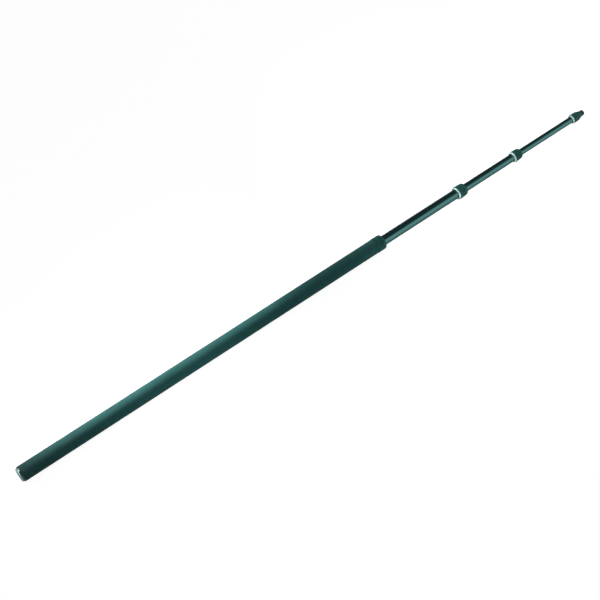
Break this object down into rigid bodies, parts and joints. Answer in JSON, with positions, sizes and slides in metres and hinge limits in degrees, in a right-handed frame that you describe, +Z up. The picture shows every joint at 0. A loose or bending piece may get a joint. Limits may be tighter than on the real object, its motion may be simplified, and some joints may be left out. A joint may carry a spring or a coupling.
{
  "type": "boom pole",
  "caption": "Hand-held telescoping boom pole with a long foam grip, ribbed twist-lock nuts with pale rings, and a threaded microphone stud at the tip.",
  "frame": {"origin": "middle of the butt cap's flat end face, on the pole's axis", "axes": "+X along the pole from the butt to the tip, +Z up as the pole lies on a floor"},
  "size_m": [1.7505, 0.0392, 0.0392],
  "materials": {
    "black_aluminium": "gloss",
    "black_foam": "matte",
    "black_plastic": "satin",
    "black_rubber": "matte",
    "white_nylon": "satin",
    "natural_acetal": "satin",
    "cap_plastic": "satin",
    "black_steel": "satin"
  },
  "bodies": {
    "handle": {"butt_cap": "cap_plastic", "cap_bumper": "black_rubber", "handle_tube": "black_aluminium", "foam_grip": "black_foam", "handle_collet": "white_nylon"},
    "handle_lock": {"handle_nut": "black_plastic", "handle_nut_sleeve": "black_rubber"},
    "second_guide": {"second_guide_ring": "natural_acetal"},
    "second_section": {"second_tube": "black_aluminium", "second_guide_plug": "natural_acetal", "second_collet": "white_nylon"},
    "second_lock": {"second_nut": "black_plastic", "second_nut_sleeve": "black_rubber"},
    "third_guide": {"third_guide_ring": "natural_acetal"},
    "third_section": {"third_tube": "black_aluminium", "third_guide_plug": "natural_acetal", "third_collet": "white_nylon"},
    "third_lock": {"third_nut": "black_plastic", "third_nut_sleeve": "black_rubber"},
    "tip_guide": {"tip_guide_ring": "natural_acetal"},
    "tip_section": {"tip_tube": "black_aluminium", "tip_guide_plug": "natural_acetal", "tip_ring": "white_nylon", "tip_socket": "black_plastic", "mic_stud": "black_steel"}
  },
  "joints": [
    {"name": "second_slide", "type": "slide", "parent": "handle", "child": "second_guide", "axis": [1, 0, 0], "range_m": [-0.243, 0.69]},
    {"name": "second_turn", "type": "hinge", "parent": "second_guide", "child": "second_section", "pos_m": [0.3368, 0, 0], "axis": [1, 0, 0], "continuous": true},
    {"name": "third_slide", "type": "slide", "parent": "second_section", "child": "third_guide", "axis": [1, 0, 0], "range_m": [-0.1658, 0.72]},
    {"name": "third_turn", "type": "hinge", "parent": "third_guide", "child": "third_section", "pos_m": [0.584, 0, 0], "axis": [1, 0, 0], "continuous": true},
    {"name": "tip_slide", "type": "slide", "parent": "third_section", "child": "tip_guide", "axis": [1, 0, 0], "range_m": [-0.1866, 0.65]},
    {"name": "tip_turn", "type": "hinge", "parent": "tip_guide", "child": "tip_section", "pos_m": [0.8487, 0, 0], "axis": [1, 0, 0], "continuous": true},
    {"name": "handle_nut_turn", "type": "hinge", "parent": "handle", "child": "handle_lock", "pos_m": [1.0227, 0, 0], "axis": [1, 0, 0], "range_deg": [0, 180]},
    {"name": "second_nut_turn", "type": "hinge", "parent": "second_section", "child": "second_lock", "pos_m": [1.2971, 0, 0], "axis": [1, 0, 0], "range_deg": [0, 180]},
    {"name": "third_nut_turn", "type": "hinge", "parent": "third_section", "child": "third_lock", "pos_m": [1.4943, 0, 0], "axis": [1, 0, 0], "range_deg": [0, 180]}
  ]
}
